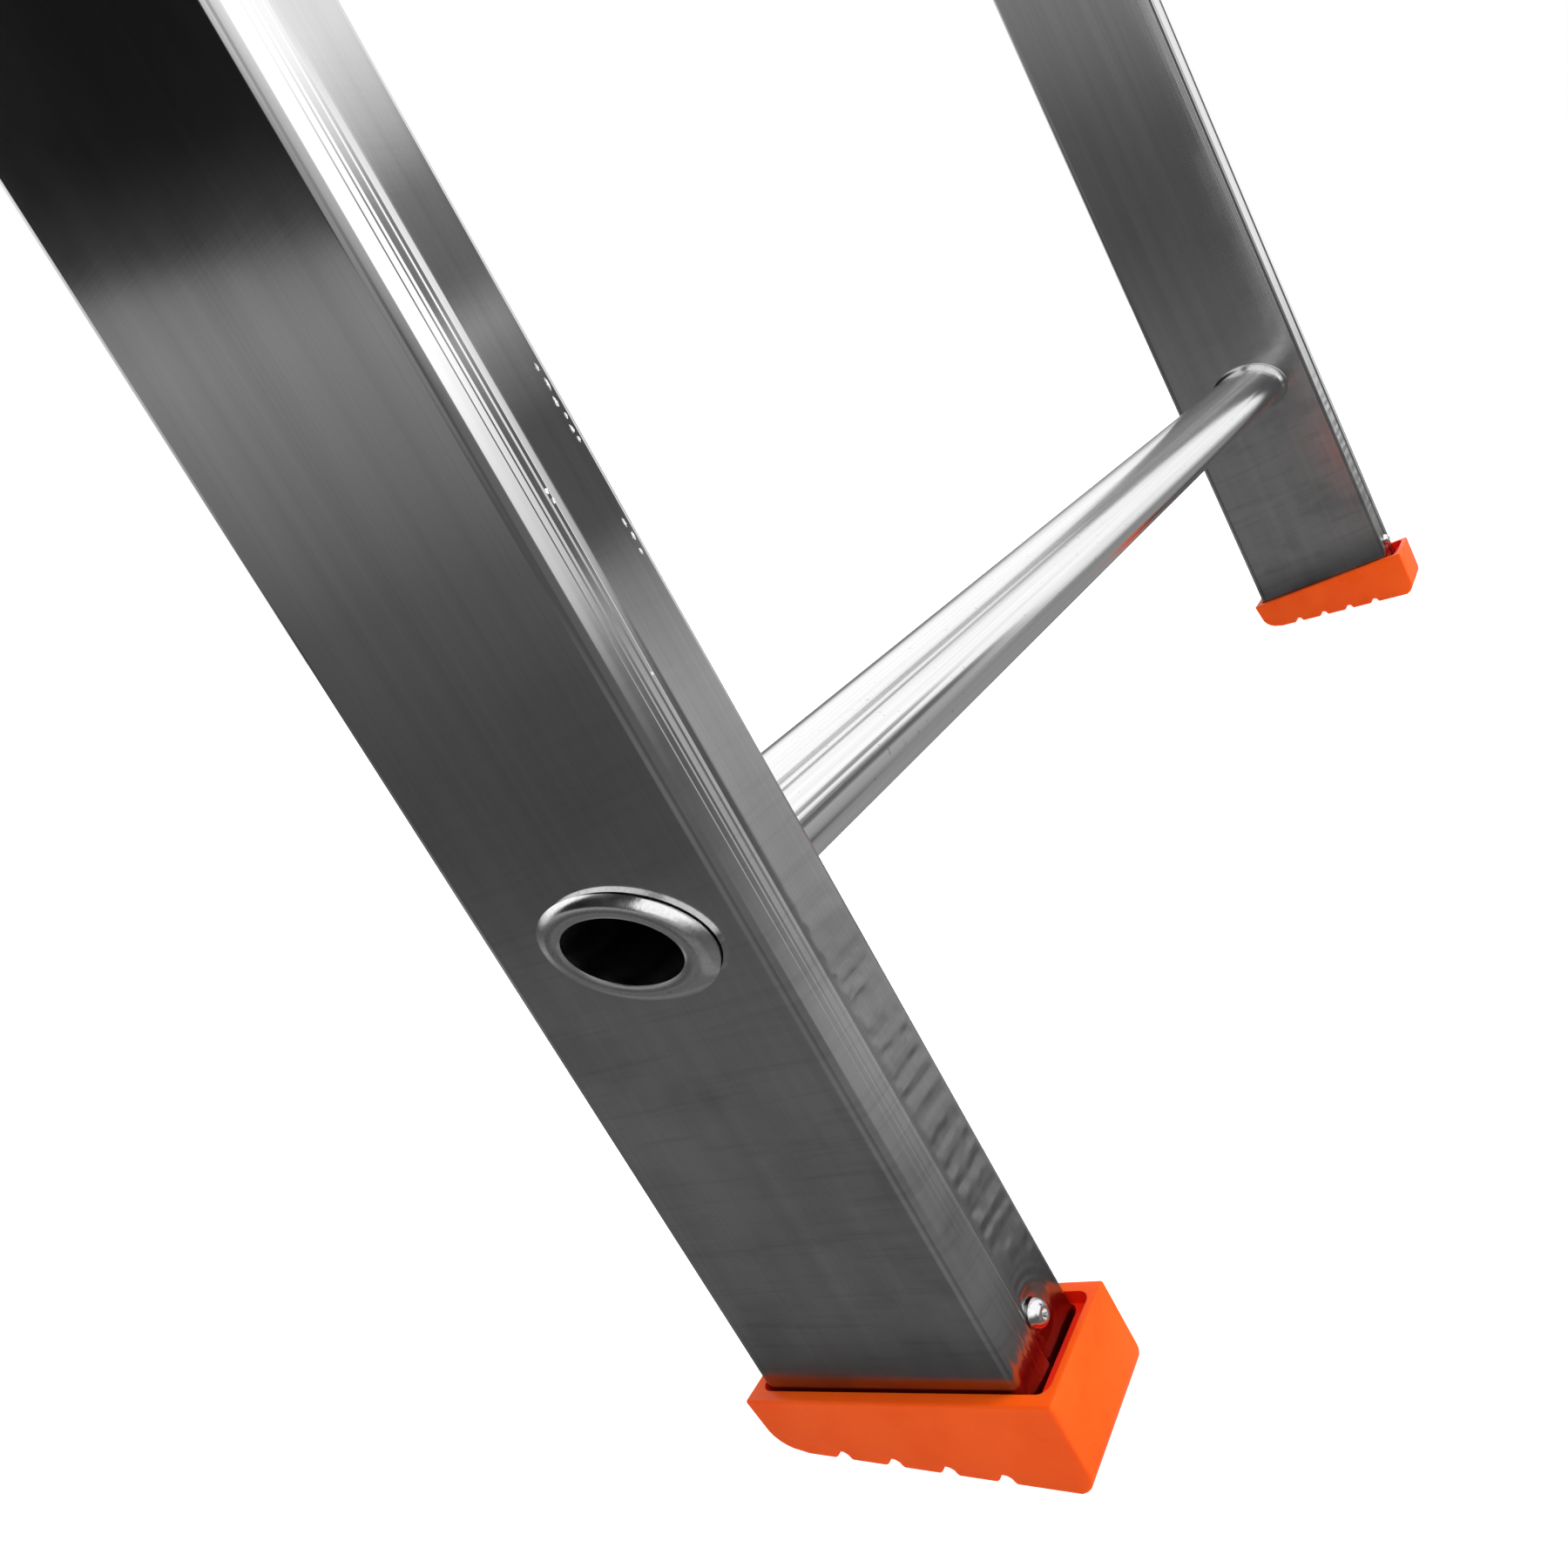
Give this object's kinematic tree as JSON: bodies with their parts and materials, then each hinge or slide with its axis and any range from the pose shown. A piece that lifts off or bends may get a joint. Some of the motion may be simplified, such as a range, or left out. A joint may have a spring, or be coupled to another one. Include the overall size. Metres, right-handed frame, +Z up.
{
  "type": "extension ladder",
  "caption": "Push-up aluminium extension ladder: a fly section slides on a base section and hangs from its rungs by swinging hooks. Orange plastic feet and caps.",
  "frame": {"origin": "on the ground, under the middle of the leaning ladder's bounding box", "axes": "+X along the rungs to the right as seen from the climber's side, +Y from the climber towards the wall, +Z up; the stiles lean 84 degrees from the ground towards +Y"},
  "size_m": [0.5334, 0.2932, 2.7893],
  "materials": {
    "stile_aluminium": "satin, drawn along the stile",
    "rung_aluminium": "bright, with fine lengthwise ribs",
    "zinc_steel": "zinc plated, satin",
    "orange_plastic": "moulded, semi-matte"
  },
  "bodies": {
    "base": {"base_stile_left": "stile_aluminium", "base_stile_right": "stile_aluminium", "base_rung_1": "rung_aluminium", "base_rung_2": "rung_aluminium", "base_rung_3": "rung_aluminium", "base_rung_4": "rung_aluminium", "base_rung_5": "rung_aluminium", "base_rung_6": "rung_aluminium", "base_rung_7": "rung_aluminium", "foot_left": "orange_plastic", "foot_right": "orange_plastic", "foot_rivet_left": "rung_aluminium", "foot_rivet_right": "rung_aluminium", "base_top_cap_left": "orange_plastic", "base_top_cap_right": "orange_plastic", "base_guide_left": "zinc_steel", "base_guide_right": "zinc_steel", "base_guide_rivet_1_left": "zinc_steel", "base_guide_rivet_1_right": "zinc_steel", "base_guide_rivet_2_left": "zinc_steel", "base_guide_rivet_2_right": "zinc_steel"},
    "fly": {"fly_stile_left": "stile_aluminium", "fly_stile_right": "stile_aluminium", "fly_rung_1": "rung_aluminium", "fly_rung_2": "rung_aluminium", "fly_rung_3": "rung_aluminium", "fly_rung_4": "rung_aluminium", "fly_rung_5": "rung_aluminium", "fly_rung_6": "rung_aluminium", "fly_rung_7": "rung_aluminium", "fly_top_cap_left": "orange_plastic", "fly_top_cap_right": "orange_plastic", "fly_bottom_cap_left": "orange_plastic", "fly_bottom_cap_right": "orange_plastic", "fly_guide_left": "zinc_steel", "fly_guide_right": "zinc_steel", "fly_guide_rivet_1_left": "zinc_steel", "fly_guide_rivet_1_right": "zinc_steel", "fly_guide_rivet_2_left": "zinc_steel", "fly_guide_rivet_2_right": "zinc_steel", "hook_bracket_left": "zinc_steel", "hook_bracket_right": "zinc_steel", "hook_pin_left": "zinc_steel", "hook_pin_right": "zinc_steel", "hook_bracket_rivet_1_left": "zinc_steel", "hook_bracket_rivet_1_right": "zinc_steel", "hook_bracket_rivet_2_left": "zinc_steel", "hook_bracket_rivet_2_right": "zinc_steel"},
    "hook_l": {"hook_left": "zinc_steel"},
    "hook_r": {"hook_right": "zinc_steel"}
  },
  "joints": [
    {"name": "fly_slide", "type": "slide", "parent": "base", "child": "fly", "axis": [0, 0.1045, 0.9945], "range_m": [-0.84, 0.28]},
    {"name": "hook_left_swing", "type": "hinge", "parent": "fly", "child": "hook_l", "pos_m": [-0.23185, -0.05948, 0.98694], "axis": [1, 0, 0], "range_deg": [0, 75]},
    {"name": "hook_right_swing", "type": "hinge", "parent": "fly", "child": "hook_r", "pos_m": [0.23185, -0.05948, 0.98694], "axis": [1, 0, 0], "range_deg": [0, 75]}
  ]
}
